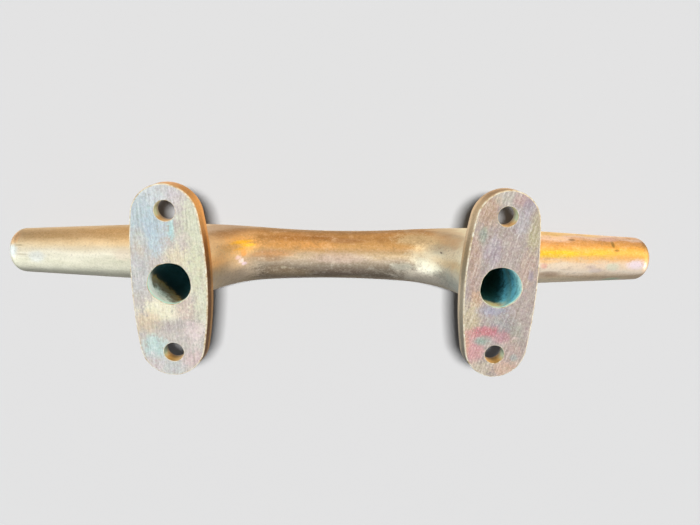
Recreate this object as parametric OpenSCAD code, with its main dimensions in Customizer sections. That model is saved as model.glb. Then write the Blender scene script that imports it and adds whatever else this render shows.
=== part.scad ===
// Horned boat cleat, cast in bronze.
// A waisted round bar on two hollow legs, each standing on an oval foot, with a
// tapering horn at each end. Upright on its deck: +Z is up, X runs along the bar,
// and the origin is on the deck, midway between the feet.

/* [Overall] */
// Length from horn tip to horn tip
cleat_length = 304.8; // [295:0.2:340]
// Distance between the centres of the two legs
leg_spacing = 130.2; // [116:0.2:140]
// Height of the bar's axis above the deck
bar_height = 52; // [46:0.1:64]

/* [Bar] */
// Radius of the bar at its waist, midway between the legs
waist_r = 11.4; // [9:0.1:13]
// Radius of the long curve that draws the waist in
waist_curve_r = 510; // [300:10:1000]

/* [Horns] */
// Radius of the horn where it leaves the leg
horn_root_r = 13.3; // [11.2:0.1:15]
// Radius of the horn near its tip, before the tip rounds over
horn_tip_r = 10.4; // [8.2:0.1:11]
// Radius of the rounding at the horn's tip
tip_round_r = 5.6; // [3:0.1:8]

/* [Legs] */
// Thickness of the leg at the foot, measured along the bar
leg_thickness = 25; // [22:0.2:26]
// Width of the leg at the foot, measured across the bar
leg_width = 25; // [22:0.5:36]
// Length of the curved arch between the bar and the leg, measured along the bar
arch_length = 20; // [14:0.5:36]
// Length of the curve between the leg and the horn, measured along the horn
horn_curve_length = 11; // [6:0.5:16]

/* [Core holes] */
// Radius of the core hole in each leg
core_r = 8.3; // [6:0.1:9]
// Height of the core hole's rounded top above the deck
core_height = 43; // [30:1:50]

/* [Feet] */
// Length of the foot, measured across the bar
foot_length = 77.6; // [76:0.2:90]
// Distance from the foot's middle line to its side under the bar
foot_inner_reach = 15.4; // [14.2:0.1:17]
// Distance from the foot's middle line to its side under the horn
foot_outer_reach = 14.6; // [14.2:0.1:17]
// Radius of the foot's round ends
foot_end_r = 13.1; // [12:0.1:13.6]
// Thickness of the foot
foot_thickness = 8.5; // [7:0.1:12]
// Radius of the rounding along the foot's upper edge
foot_edge_r = 2.2; // [1:0.1:3.5]
// Width of the bevel along the foot's lower edge
foot_bevel = 0.6; // [0.2:0.1:1.5]

/* [Fastening holes] */
// Radius of the fastening holes
hole_r = 3.97; // [3:0.01:4.5]
// Distance between the two fastening holes of a foot
hole_spacing = 57.2; // [50:0.2:60]
// Radius of the countersink for the screw's head, at the foot's upper face
sink_r = 6.6; // [5:0.1:7.5]
// Angle between the countersink's sides, in degrees
sink_angle = 82; // [80:1:100]

/* [Hidden] */

// Colours of the worn bronze
BRONZE_BAR = [0.74, 0.56, 0.36];
BRONZE_FOOT = [0.72, 0.68, 0.62];

// Facets in a full turn of a small, a middling and a wide curve
SMALL_FN = 64;
ROUND_FN = 96;
WIDE_FN = 720;
// Length by which a cutting tool passes through the face that it opens
OVERRUN = 1;
// Depth by which the foot's side curves run into its round ends
SIDE_DIP = 0.15;
// Half the width of the narrow flat left along the lowest line of an arch
ARCH_FLAT = 0.05;
// Steps along each arch, across each leg, and from the bottom to the top of a section
ARCH_STEPS = 9;
LEG_STEPS = 12;
SIDE_STEPS = 15;

leg_x = leg_spacing / 2;
leg_inner_x = leg_x - leg_thickness / 2;
leg_outer_x = leg_x + leg_thickness / 2;
// The bar is a plain round one up to where the arch begins
arch_x = leg_inner_x - arch_length;
// The horn is a plain round one from where the curve under it ends
horn_x = leg_outer_x + horn_curve_length;
horn_end_x = cleat_length / 2 - tip_round_r;
horn_slope = (horn_tip_r - horn_root_r) / (horn_end_x - horn_x);

// Radius of the waisted bar at a distance x from its middle
function waist_radius(x) = waist_r + waist_curve_r - sqrt(waist_curve_r * waist_curve_r - x * x);

bar_end_r = waist_radius(arch_x);
bar_end_slope = arch_x / sqrt(waist_curve_r * waist_curve_r - arch_x * arch_x);

// Radius of the bar above the leg: a smooth curve from the bar's end to the horn's root
function knuckle_radius(x) =
    let (span = horn_x - arch_x, t = (x - arch_x) / span)
    bar_end_r * (1 - 3 * t * t + 2 * t * t * t)
    + bar_end_slope * span * (t - 2 * t * t + t * t * t)
    + horn_root_r * (3 * t * t - 2 * t * t * t)
    + horn_slope * span * (t * t * t - t * t);

// How full the leg's section is: 0 on an arch's surface, and 1 where the metal beyond it ends.
// run and rise are the arch's half-axes, and thick and deep the metal beyond each of them.
function arch_fullness(dx, z, run, rise, thick, deep) =
    let (
        across = max(0, dx) / run,
        up = (z - foot_thickness) / rise,
        out = sqrt(across * across + up * up),
        core = 1 + (across * across * thick / run + up * up * deep / rise) / max(out * out, 1e-9),
        short = min(1, max(0, (core - out) / (core - 1)))
    )
    sqrt(1 - short * short);

arch_rise = bar_height - bar_end_r - foot_thickness;
horn_rise = bar_height - horn_root_r - foot_thickness;

// Lowest point of the leg's section at x: along the arch, on the foot, or under the horn
function section_bottom(x) =
    x < leg_inner_x ? foot_thickness + arch_rise * sqrt(1 - pow((leg_inner_x - x - arch_length) / arch_length, 2))
    : x <= leg_outer_x ? foot_thickness
    : foot_thickness + horn_rise * sqrt(max(0, 1 - pow((horn_x - x) / horn_curve_length, 2)));

// Half the width of the section at x and z, measured across the bar
function section_side(x, z) =
    let (r = knuckle_radius(x), down = (bar_height - z) / (bar_height - foot_thickness))
    z >= bar_height
        ? sqrt(max(0, r * r - pow(z - bar_height, 2)))
        : (r + (leg_width / 2 - r) * down * down)
            * arch_fullness(x - arch_x, z, arch_length, arch_rise, leg_thickness / 2, bar_end_r)
            * arch_fullness(horn_x - x, z, horn_curve_length, horn_rise, leg_thickness / 2, horn_root_r);

// Closed outline of the leg's section at x: up one side, over the top and down the other
function section_points(x) =
    let (
        bottom = section_bottom(x),
        top = bar_height + knuckle_radius(x),
        side = [
            for (i = [0 : SIDE_STEPS - 1])
                let (z = bottom + (top - bottom) * (1 - cos(180 * i / SIDE_STEPS)) / 2)
                [max(ARCH_FLAT, section_side(x, z)), z]
        ]
    )
    concat(
        [for (p = side) [x, p[0], p[1]]],
        [[x, 0, top]],
        [for (i = [SIDE_STEPS - 1 : -1 : 0]) [x, -side[i][0], side[i][1]]]
    );

// Places of the sections: close together where the arches turn upright
leg_stations = concat(
    [for (i = [0 : ARCH_STEPS - 1]) arch_x + arch_length * sin(90 * i / ARCH_STEPS)],
    [for (i = [0 : LEG_STEPS]) leg_x - leg_thickness / 2 * cos(180 * i / LEG_STEPS)],
    [for (i = [1 : ARCH_STEPS]) leg_outer_x + horn_curve_length * (1 - cos(90 * i / ARCH_STEPS))]
);

// Outline of the foot: two round ends joined by two long side curves, each of which bulges
// out to its own reach from the foot's middle line
foot_end_y = foot_length / 2 - foot_end_r;
function side_radius(reach) =
    let (bulge = reach - foot_end_r + SIDE_DIP)
    (foot_end_y * foot_end_y + bulge * bulge) / (2 * bulge);

sink_depth = (sink_r - hole_r) / tan(sink_angle / 2);

// Quarter of a disc, which rounds an outer corner
module corner_round(r) {
    intersection() {
        circle(r = r, $fn = SMALL_FN);
        square(r);
    }
}

// Half section of a round disc with the foot's thickness, bevel and rounding
module foot_edge(r) {
    polygon([
        [0, 0],
        [r - foot_bevel, 0],
        [r, foot_bevel],
        [r, foot_thickness - foot_edge_r],
        [r - foot_edge_r, foot_thickness],
        [0, foot_thickness]
    ]);
    translate([r - foot_edge_r, foot_thickness - foot_edge_r])
        corner_round(foot_edge_r);
}

// Round disc with the foot's edge
module foot_disc(r, steps) {
    rotate_extrude($fn = steps)
        foot_edge(r);
}

// Wide disc that reaches along X to one side of the foot
module side_disc(reach) {
    translate([reach - side_radius(reach), 0, 0])
        foot_disc(side_radius(reach), WIDE_FN);
}

module foot_blank() {
    for (side = [-1, 1])
        translate([0, side * foot_end_y, 0])
            foot_disc(foot_end_r, ROUND_FN);
    intersection() {
        side_disc(foot_outer_reach);
        rotate([0, 0, 180])
            side_disc(foot_inner_reach);
        translate([-foot_length, -foot_end_y, -OVERRUN])
            cube([2 * foot_length, 2 * foot_end_y, foot_thickness + 2 * OVERRUN]);
    }
}

// Straight hole for a screw, opening out to a countersink on the foot's upper face
module fastening_hole() {
    top = foot_thickness + OVERRUN;
    rotate_extrude($fn = SMALL_FN)
        polygon([
            [0, -OVERRUN],
            [hole_r, -OVERRUN],
            [hole_r, foot_thickness - sink_depth],
            [sink_r, foot_thickness],
            [sink_r, top],
            [0, top]
        ]);
}

module foot() {
    color(BRONZE_FOOT)
        translate([leg_x, 0, 0])
            difference() {
                foot_blank();
                translate([0, 0, -OVERRUN])
                    cylinder(r = core_r, h = foot_thickness + 2 * OVERRUN, $fn = ROUND_FN);
                for (side = [-1, 1])
                    translate([0, side * hole_spacing / 2, 0])
                        fastening_hole();
            }
}

// Blind hole with a round top, left where the core was drawn out through the foot
module core_hole() {
    translate([leg_x, 0, 0]) {
        cylinder(r = core_r, h = core_height - core_r, $fn = ROUND_FN);
        translate([0, 0, core_height - core_r])
            sphere(r = core_r, $fn = ROUND_FN);
    }
}

// The leg with its arch, the curve under the horn and the bar's length above it
module leg_blank() {
    ring = 2 * SIDE_STEPS + 1;
    last = len(leg_stations) - 1;
    points = [for (x = leg_stations) each section_points(x)];
    walls = [
        for (i = [0 : last - 1])
            for (j = [0 : ring - 1])
                let (a = i * ring + j, b = i * ring + (j + 1) % ring)
                each [[a, b, a + ring], [b, b + ring, a + ring]]
    ];
    inner_face = [for (j = [ring - 1 : -1 : 0]) j];
    outer_face = [for (j = [0 : ring - 1]) last * ring + j];
    polyhedron(points = points, faces = concat(walls, [inner_face, outer_face]), convexity = 4);
}

module leg() {
    color(BRONZE_BAR)
        difference() {
            leg_blank();
            core_hole();
        }
}

// A round solid along the bar's axis, from a half profile of [radius, x] shapes
module turned_bar() {
    translate([0, 0, bar_height])
        rotate([0, 90, 0])
            rotate_extrude($fn = ROUND_FN)
                children();
}

module center_bar() {
    color(BRONZE_BAR)
        turned_bar()
            difference() {
                translate([0, -arch_x])
                    square([bar_end_r, 2 * arch_x]);
                translate([waist_r + waist_curve_r, 0])
                    circle(r = waist_curve_r, $fn = WIDE_FN);
            }
}

module horn() {
    color(BRONZE_BAR)
        turned_bar()
            union() {
                polygon([[0, horn_x], [horn_root_r, horn_x], [horn_tip_r, horn_end_x], [0, horn_end_x]]);
                translate([0, horn_end_x])
                    square([horn_tip_r - tip_round_r, tip_round_r]);
                translate([horn_tip_r - tip_round_r, horn_end_x])
                    corner_round(tip_round_r);
            }
}

module right_horn() horn();
module left_horn() mirror([1, 0, 0]) horn();
module right_leg() leg();
module left_leg() mirror([1, 0, 0]) leg();
module right_foot() foot();
module left_foot() mirror([1, 0, 0]) foot();

left_horn();
center_bar();
right_horn();
left_leg();
right_leg();
left_foot();
right_foot();
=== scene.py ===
# Boat cleat in worn cast bronze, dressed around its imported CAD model.
import math

import bmesh
import bpy
import numpy as np
from mathutils import Matrix, Vector
from mathutils.geometry import tessellate_polygon


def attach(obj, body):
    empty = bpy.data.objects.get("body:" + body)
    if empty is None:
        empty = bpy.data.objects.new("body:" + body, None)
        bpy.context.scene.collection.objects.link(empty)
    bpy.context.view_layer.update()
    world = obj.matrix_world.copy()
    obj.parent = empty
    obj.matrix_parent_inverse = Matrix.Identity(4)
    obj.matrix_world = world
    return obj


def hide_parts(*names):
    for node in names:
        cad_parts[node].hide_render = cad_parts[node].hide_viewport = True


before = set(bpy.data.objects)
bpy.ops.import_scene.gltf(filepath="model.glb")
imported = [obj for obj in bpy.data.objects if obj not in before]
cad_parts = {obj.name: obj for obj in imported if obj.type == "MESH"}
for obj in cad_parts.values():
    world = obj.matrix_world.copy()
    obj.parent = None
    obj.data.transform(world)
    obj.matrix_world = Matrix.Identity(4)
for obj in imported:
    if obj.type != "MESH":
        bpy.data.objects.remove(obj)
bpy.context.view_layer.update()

MM = 0.001

# Sizes of the casting in millimetres, as in the part's source
CLEAT_LENGTH = 304.8
LEG_X = 65.1
BAR_HEIGHT = 52
WAIST_R = 11.4
WAIST_CURVE_R = 510
HORN_ROOT_R = 13.3
HORN_TIP_R = 10.4
TIP_ROUND_R = 5.6
LEG_HALF = 12.5
ARCH_LENGTH = 20
HORN_CURVE_LENGTH = 11
CORE_R = 8.3
CORE_HEIGHT = 43
FOOT_LENGTH = 77.6
FOOT_INNER_REACH = 15.4
FOOT_OUTER_REACH = 14.6
FOOT_END_R = 13.1
FOOT_THICKNESS = 8.5
FOOT_EDGE_R = 2.2
HOLE_R = 3.97
HOLE_Y = 28.6
SINK_R = 6.6
SINK_DEPTH = 3.03

LEG_INNER_X = LEG_X - LEG_HALF
LEG_OUTER_X = LEG_X + LEG_HALF
ARCH_X = LEG_INNER_X - ARCH_LENGTH
HORN_X = LEG_OUTER_X + HORN_CURVE_LENGTH
HORN_END_X = CLEAT_LENGTH / 2 - TIP_ROUND_R
HORN_SLOPE = (HORN_TIP_R - HORN_ROOT_R) / (HORN_END_X - HORN_X)
BAR_END_R = WAIST_R + WAIST_CURVE_R - math.sqrt(WAIST_CURVE_R ** 2 - ARCH_X ** 2)
BAR_END_SLOPE = ARCH_X / math.sqrt(WAIST_CURVE_R ** 2 - ARCH_X ** 2)
ARCH_RISE = BAR_HEIGHT - BAR_END_R - FOOT_THICKNESS
HORN_RISE = BAR_HEIGHT - HORN_ROOT_R - FOOT_THICKNESS

# Fineness of the meshes: facets round the bar and a drilled hole, and steps along each part
ROUND_STEPS = 144
HOLE_STEPS = 72
BAR_STEPS = 96
HORN_STEPS = 117
TIP_STEPS = 19
ARCH_STEPS = 36
LEG_STEPS = 40
CURVE_STEPS = 24
SIDE_STEPS = 44
CORE_STEPS = 14
CORE_END_STEPS = 10
OUTLINE_STEPS = 66
LIP_STEPS = 6
FOOT_WALL_STEPS = 5
SHOULDER_STEPS = 9

# How near two points lie to count as one, and how near a seam a point lies to be on it
MERGE_GAP = 0.0001
SEAM_GAP = 0.001
# Keeps a division sound where its divisor comes to nothing
TINY = 1e-12

# The small fillet that the moulder left where the leg meets the foot
FILLET_HEIGHT = 4.0
FILLET_ALONG = 0.3
FILLET_ACROSS = 3.2
# How far the horn's end stands proud in its middle
TIP_DOME = 0.4
# How far the foot's side under the bar leans in towards the deck
SIDE_LEAN = 0.8
# Reach of the soft edge that wear left along the foot, round a drilled hole and round the core
FOOT_LIP = 0.45
HOLE_LIP = 0.2
CORE_LIP = 0.24


class Shell:
    """Points and faces of one closed piece, in millimetres."""

    def __init__(self):
        self.points, self.faces, self.finishes, self.flats = [], [], [], []

    def ring(self, points):
        start = len(self.points)
        self.points.extend(tuple(float(v) for v in p) for p in points)
        return list(range(start, len(self.points)))

    def face(self, corners, finish=0, flat=False):
        self.faces.append(corners)
        self.finishes.append(finish)
        self.flats.append(flat)

    def strip(self, low, high, finish=0, flat=False):
        """Quads between two rings with the same number of points."""
        for i in range(len(low)):
            j = (i + 1) % len(low)
            self.face([low[i], low[j], high[j], high[i]], finish, flat)

    def cap(self, ring, centre, finish=0, flat=True):
        """Closes a ring with a fan of triangles round a middle point."""
        middle = self.ring([centre])[0]
        for i in range(len(ring)):
            self.face([ring[i], ring[(i + 1) % len(ring)], middle], finish, flat)

    def fill(self, loops, finish=0):
        """Fills the flat face between an outer loop and the holes in it."""
        lines = [[Vector((*self.points[i][:2], 0)) for i in loop] for loop in loops]
        order = [i for loop in loops for i in loop]
        for corners in tessellate_polygon(lines):
            self.face([order[i] for i in corners], finish, True)


def seam_normal(point):
    """Direction of the bar's surface where a leg meets the bar or a horn, so that no seam shows."""
    x, y, z = point
    slope = BAR_END_SLOPE if abs(x) < LEG_X else HORN_SLOPE
    out = Vector((0, y, z - BAR_HEIGHT)).normalized()
    out.x = -math.copysign(slope, x)
    return out.normalized()


def cast(name, node, shell, finishes):
    """Turns a shell into a piece that stands for its CAD node."""
    mesh = bpy.data.meshes.new(name)
    mesh.from_pydata([tuple(v * MM for v in p) for p in shell.points], [], shell.faces)
    mesh.polygons.foreach_set("material_index", shell.finishes)
    mesh.polygons.foreach_set("use_smooth", [not flat for flat in shell.flats])
    for finish in finishes:
        mesh.materials.append(finish)
    build = bmesh.new()
    build.from_mesh(mesh)
    bmesh.ops.remove_doubles(build, verts=build.verts, dist=MERGE_GAP * MM)
    bmesh.ops.dissolve_degenerate(build, edges=build.edges, dist=MERGE_GAP * MM / 10)
    bmesh.ops.recalc_face_normals(build, faces=build.faces)
    build.to_mesh(mesh)
    build.free()
    # Where a leg meets the bar or a horn, both are shaded as one surface
    lowest_seam = BAR_HEIGHT - HORN_ROOT_R - 0.5
    normals = [c.vector.copy() for c in mesh.corner_normals]
    for polygon in mesh.polygons:
        if not polygon.use_smooth:
            continue
        for corner in polygon.loop_indices:
            point = mesh.vertices[mesh.loops[corner].vertex_index].co / MM
            to_seam = min(abs(abs(point.x) - ARCH_X), abs(abs(point.x) - HORN_X))
            if point.z > lowest_seam and to_seam < SEAM_GAP:
                normals[corner] = seam_normal(point)
    mesh.normals_split_custom_set(normals)
    piece = bpy.data.objects.new(name, mesh)
    bpy.context.collection.objects.link(piece)
    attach(piece, "root")
    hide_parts(node)


# Bar and horns: round pieces about the bar's axis

def turned_ring(x, radius, dents=()):
    """One ring of a round piece, pressed in a little where the metal was knocked."""
    turn = np.arange(ROUND_STEPS) * 2 * math.pi / ROUND_STEPS
    out = np.full(ROUND_STEPS, float(radius))
    for place, wide, deep in dents:
        away = ((x - place[0]) / wide[0]) ** 2 + ((radius * np.sin(turn) - place[1]) / wide[1]) ** 2
        out -= deep * np.exp(-away) * (np.cos(turn) < 0)
    y, z = out * np.sin(turn), BAR_HEIGHT + out * np.cos(turn)
    return np.stack([np.full(ROUND_STEPS, float(x)), y, z], axis=1)


def waisted_bar():
    shell = Shell()
    rings = []
    for x in np.linspace(-ARCH_X, ARCH_X, BAR_STEPS + 1):
        radius = WAIST_R + WAIST_CURVE_R - math.sqrt(WAIST_CURVE_R ** 2 - x * x)
        rings.append(shell.ring(turned_ring(x, radius)))
    for low, high in zip(rings, rings[1:]):
        shell.strip(low, high)
    shell.cap(rings[0], (-ARCH_X, 0, BAR_HEIGHT))
    shell.cap(rings[-1], (ARCH_X, 0, BAR_HEIGHT))
    return shell


def tapered_horn(side, dents):
    """side is -1 for the left horn and 1 for the right one."""
    shell = Shell()
    profile = [(x, HORN_ROOT_R + HORN_SLOPE * (x - HORN_X))
               for x in np.linspace(HORN_X, HORN_END_X, HORN_STEPS + 1)]
    end_r = HORN_TIP_R - TIP_ROUND_R
    for t in np.linspace(0, math.pi / 2, TIP_STEPS + 1)[1:]:
        along = (TIP_ROUND_R - TIP_DOME) * math.sin(t)
        profile.append((HORN_END_X + along, end_r + TIP_ROUND_R * math.cos(t)))
    # The end's slightly domed middle
    for share in (0.85, 0.7, 0.5, 0.25):
        profile.append((CLEAT_LENGTH / 2 - TIP_DOME * share ** 2, end_r * share))
    rings = [shell.ring(turned_ring(side * x, r, dents)) for x, r in profile]
    for low, high in zip(rings, rings[1:]):
        shell.strip(low, high)
    shell.cap(rings[0], (side * HORN_X, 0, BAR_HEIGHT))
    shell.cap(rings[-1], (side * CLEAT_LENGTH / 2, 0, BAR_HEIGHT), flat=False)
    return shell


# Legs: sections along the bar, each from the arch or foot under it up to the bar's top

def knuckle_radius(x):
    """Radius of the round metal over a leg, which passes smoothly from the bar to the horn."""
    span = HORN_X - ARCH_X
    t = (x - ARCH_X) / span
    return (
        BAR_END_R * (1 - 3 * t ** 2 + 2 * t ** 3)
        + BAR_END_SLOPE * span * (t - 2 * t ** 2 + t ** 3)
        + HORN_ROOT_R * (3 * t ** 2 - 2 * t ** 3)
        + HORN_SLOPE * span * (t ** 3 - t ** 2)
    )


def arch_fullness(dx, z, run, rise, thick, deep):
    """Share of the leg's full width that stands at a place beside an arch. dx is how far the
    place is from the arch's thin end, along the bar."""
    across = max(0, dx) / run
    up = (z - FOOT_THICKNESS) / rise
    out = np.sqrt(across ** 2 + up ** 2)
    full = 1 + (across ** 2 * thick / run + up ** 2 * deep / rise) / np.maximum(out ** 2, TINY)
    short = np.clip((full - out) / (full - 1 + TINY), 0, 1)
    return np.sqrt(1 - short ** 2)


def section_bottom(x):
    """Height at which a section starts: on the arch, the foot or the curve under the horn."""
    if x < LEG_INNER_X:
        return FOOT_THICKNESS + ARCH_RISE * math.sqrt(max(0, 1 - ((x - ARCH_X) / ARCH_LENGTH) ** 2))
    if x <= LEG_OUTER_X:
        return FOOT_THICKNESS
    share = (HORN_X - x) / HORN_CURVE_LENGTH
    return FOOT_THICKNESS + HORN_RISE * math.sqrt(max(0, 1 - share ** 2))


def section_side(x, z):
    """Half the width of a section at each of its heights."""
    radius = knuckle_radius(x)
    down = (BAR_HEIGHT - z) / (BAR_HEIGHT - FOOT_THICKNESS)
    below = (
        (radius + (LEG_HALF - radius) * down ** 2)
        * arch_fullness(x - ARCH_X, z, ARCH_LENGTH, ARCH_RISE, LEG_HALF, BAR_END_R)
        * arch_fullness(HORN_X - x, z, HORN_CURVE_LENGTH, HORN_RISE, LEG_HALF, HORN_ROOT_R)
    )
    above = np.sqrt(np.maximum(0, radius ** 2 - (z - BAR_HEIGHT) ** 2))
    return np.where(z >= BAR_HEIGHT, above, below)


def filleted(points):
    """Spreads the leg's lowest few millimetres out onto the foot."""
    away = points[:, :2] - (LEG_X, 0)
    length = np.maximum(np.linalg.norm(away, axis=1), TINY)
    high = np.clip((points[:, 2] - FOOT_THICKNESS) / FILLET_HEIGHT, 0, 1)
    spread = 1 - np.sqrt(1 - (1 - high) ** 2)
    reach = FILLET_ALONG + (FILLET_ACROSS - FILLET_ALONG) * (away[:, 1] / length) ** 2
    points[:, :2] += away / length[:, None] * (spread * reach)[:, None]
    return points


def core_wall(side, turn, z):
    """Radius of the core hole, which the sand left a little out of round."""
    wobble = 0.14 * np.sin(3 * turn + 1.3 * side) + 0.09 * np.sin(5 * turn + z / 7)
    return CORE_R + wobble + 0.05 * np.sin(11 * turn - z / 3)


def core_points(side, turn, z, share=1, lip=0):
    """One ring of a core hole, at a share of its radius, and wider by the lip of its mouth."""
    radius = core_wall(side, turn, z) * share + lip
    x = side * LEG_X + radius * np.cos(turn)
    return np.stack([x, radius * np.sin(turn), np.full(len(turn), z)], axis=1)


def hollow_leg(side):
    """side is -1 for the left leg and 1 for the right one."""
    shell = Shell()
    # Places of the sections, close together where the arches turn upright
    arch = np.linspace(0, math.pi / 2, ARCH_STEPS + 1)
    leg = np.linspace(0, math.pi, LEG_STEPS + 1)[1:]
    curve = np.linspace(0, math.pi / 2, CURVE_STEPS + 1)[1:]
    stations = np.concatenate([
        ARCH_X + ARCH_LENGTH * np.sin(arch),
        LEG_X - LEG_HALF * np.cos(leg),
        LEG_OUTER_X + HORN_CURVE_LENGTH * (1 - np.cos(curve)),
    ])
    rise = (1 - np.cos(np.linspace(0, math.pi, SIDE_STEPS + 1))) / 2
    rings = []
    for x in stations:
        low = section_bottom(x)
        z = low + (BAR_HEIGHT + knuckle_radius(x) - low) * rise
        half = section_side(x, z)
        half[-1] = 0
        if x < LEG_INNER_X + MERGE_GAP or x > LEG_OUTER_X - MERGE_GAP:
            half[0] = 0
        up = np.stack([np.full(len(z), x), half, z], axis=1)
        points = filleted(np.concatenate([up, (up * (1, -1, 1))[::-1]]))
        points[:, 0] *= side
        rings.append(shell.ring(points))
    for low, high in zip(rings, rings[1:]):
        for i in range(len(low) - 1):
            shell.face([low[i], low[i + 1], high[i + 1], high[i]])
    shell.cap(rings[0], (side * ARCH_X, 0, BAR_HEIGHT))
    shell.cap(rings[-1], (side * HORN_X, 0, BAR_HEIGHT))
    # Sole of the leg, round the mouth of the core hole
    sole = rings[ARCH_STEPS:ARCH_STEPS + LEG_STEPS + 1]
    outer = [r[0] for r in sole] + [r[-1] for r in sole[-2:0:-1]]
    places = np.array([shell.points[i] for i in outer])
    turn = np.arctan2(places[:, 1], places[:, 0] - side * LEG_X)
    low = shell.ring(core_points(side, turn, FOOT_THICKNESS))
    shell.strip(outer, low, flat=True)
    # Wall of the core hole and its round end
    top = CORE_HEIGHT - CORE_R
    levels = [(z, 1) for z in np.linspace(FOOT_THICKNESS, top, CORE_STEPS + 1)[1:]]
    levels += [(top + CORE_R * math.sin(t), math.cos(t))
               for t in np.linspace(0, math.pi / 2, CORE_END_STEPS + 1)[1:-1]]
    for z, share in levels:
        high = shell.ring(core_points(side, turn, z, share))
        shell.strip(low, high, 1)
        low = high
    shell.cap(low, (side * LEG_X, 0, CORE_HEIGHT), 1, False)
    return shell


# Feet: an oval plate with round ends, filed flat underneath

def foot_outline():
    """Places and outward directions round the foot, seen from above, for the right foot."""
    end_y = FOOT_LENGTH / 2 - FOOT_END_R
    bulges = [reach - FOOT_END_R for reach in (FOOT_OUTER_REACH, FOOT_INNER_REACH)]
    gaps = [(end_y ** 2 + b ** 2) / (2 * b) for b in bulges]
    tilts = [math.atan2(end_y, gap - b) for gap, b in zip(gaps, bulges)]
    arcs = [
        ((bulges[0] - gaps[0], 0), FOOT_END_R + gaps[0], -tilts[0], tilts[0]),
        ((0, end_y), FOOT_END_R, tilts[0], math.pi - tilts[1]),
        ((gaps[1] - bulges[1], 0), FOOT_END_R + gaps[1], math.pi - tilts[1], math.pi + tilts[1]),
        ((0, -end_y), FOOT_END_R, math.pi + tilts[1], 2 * math.pi - tilts[0]),
    ]
    places, outs = [], []
    for centre, radius, first, last in arcs:
        for turn in np.linspace(first, last, OUTLINE_STEPS + 1)[:-1]:
            out = np.array([math.cos(turn), math.sin(turn)])
            places.append(np.array(centre) + radius * out)
            outs.append(out)
    return np.array(places), np.array(outs)


# Which of a foot's finishes a face has
FACE, EDGE, SKIN, BORE, CORE = range(5)


def worn_lip(reach):
    """Steps up a soft edge, from the flat face inwards: how far out each is, and how high."""
    turns = np.linspace(0, math.pi / 2, LIP_STEPS + 1)
    return [(reach * (1 - math.sin(t)), reach * (1 - math.cos(t))) for t in turns]


def drilled_hole(shell, x, y):
    """A fastening hole with a worn rim and a countersink. Returns its lower and upper loops."""
    turn = np.arange(HOLE_STEPS) * 2 * math.pi / HOLE_STEPS
    sink_z = FOOT_THICKNESS - SINK_DEPTH
    stations = [(HOLE_R + out, z, EDGE) for out, z in worn_lip(HOLE_LIP)]
    stations += [(HOLE_R, z, BORE) for z in np.linspace(HOLE_LIP, sink_z, FOOT_WALL_STEPS + 1)[1:]]
    stations += [(HOLE_R + (SINK_R - HOLE_R) * share, sink_z + SINK_DEPTH * share, SKIN)
                 for share in (0.25, 0.5, 0.75, 1)]
    rings = [shell.ring([(x + r * math.cos(t), y + r * math.sin(t), z) for t in turn])
             for r, z, _ in stations]
    for low, high, (_, _, finish) in zip(rings, rings[1:], stations[1:]):
        shell.strip(low, high, finish)
    return rings[0], rings[-1]


def oval_foot(side):
    """side is -1 for the left foot and 1 for the right one."""
    shell = Shell()
    places, outs = foot_outline()
    lean = SIDE_LEAN * np.clip(-outs[:, 0], 0, 1)
    places[:, 0] = side * (places[:, 0] + LEG_X)
    outs[:, 0] *= side
    shoulder = FOOT_THICKNESS - FOOT_EDGE_R
    stations = [(inset, z, EDGE) for inset, z in worn_lip(FOOT_LIP)]
    stations += [(0, z, SKIN) for z in np.linspace(FOOT_LIP, shoulder, FOOT_WALL_STEPS + 1)[1:]]
    stations += [(FOOT_EDGE_R * (1 - math.cos(t)), shoulder + FOOT_EDGE_R * math.sin(t), SKIN)
                 for t in np.linspace(0, math.pi / 2, SHOULDER_STEPS + 1)[1:]]
    rings = []
    for inset, z, _ in stations:
        inward = inset + lean * max(0, 1 - z / shoulder)
        rings.append(shell.ring([(*p, z) for p in places - outs * inward[:, None]]))
    for low, high, (_, _, finish) in zip(rings, rings[1:], stations[1:]):
        shell.strip(low, high, finish)
    holes = [drilled_hole(shell, side * LEG_X, y) for y in (-HOLE_Y, HOLE_Y)]
    # The core hole, whose rim was filed through a wavering edge
    turn = np.arange(2 * LEG_STEPS) * math.pi / LEG_STEPS
    uneven = 1 + 0.25 * np.sin(2 * turn + side) + 0.15 * np.sin(5 * turn + 2 * side)
    core = [shell.ring(core_points(side, turn, z, lip=out * uneven)) for out, z in worn_lip(CORE_LIP)]
    core += [shell.ring(core_points(side, turn, z))
             for z in np.linspace(CORE_LIP, FOOT_THICKNESS, FOOT_WALL_STEPS + 1)[1:]]
    for i, (low, high) in enumerate(zip(core, core[1:])):
        shell.strip(low, high, EDGE if i < LIP_STEPS else CORE)
    shell.fill([rings[0], core[0], holes[0][0], holes[1][0]], FACE)
    shell.fill([rings[-1], core[-1], holes[0][1], holes[1][1]], SKIN)
    return shell


# Materials

def add(tree, kind, inputs=None, stops=None, **settings):
    """Adds a node with its settings, its values and its links."""
    node = tree.nodes.new(kind)
    for key, value in settings.items():
        setattr(node, key, value)
    for key, value in (inputs or {}).items():
        socket = node.inputs[key]
        if isinstance(value, bpy.types.NodeSocket):
            tree.links.new(value, socket)
        else:
            socket.default_value = value
    if stops:
        elements = node.color_ramp.elements
        while len(elements) < len(stops):
            elements.new(0.5)
        for element, (place, shade) in zip(elements, stops):
            element.position = place
            element.color = shade if isinstance(shade, tuple) else (shade, shade, shade, 1)
    return node


def colour(text):
    """Linear RGBA of an sRGB hex colour."""
    parts = [int(text[i:i + 2], 16) / 255 for i in (0, 2, 4)]
    return (*[p / 12.92 if p <= 0.04045 else ((p + 0.055) / 1.055) ** 2.4 for p in parts], 1.0)


def blank_finish(name):
    """An empty material and its node tree."""
    material = bpy.data.materials.new(name)
    material.use_nodes = True
    material.node_tree.nodes.clear()
    return material, material.node_tree


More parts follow.
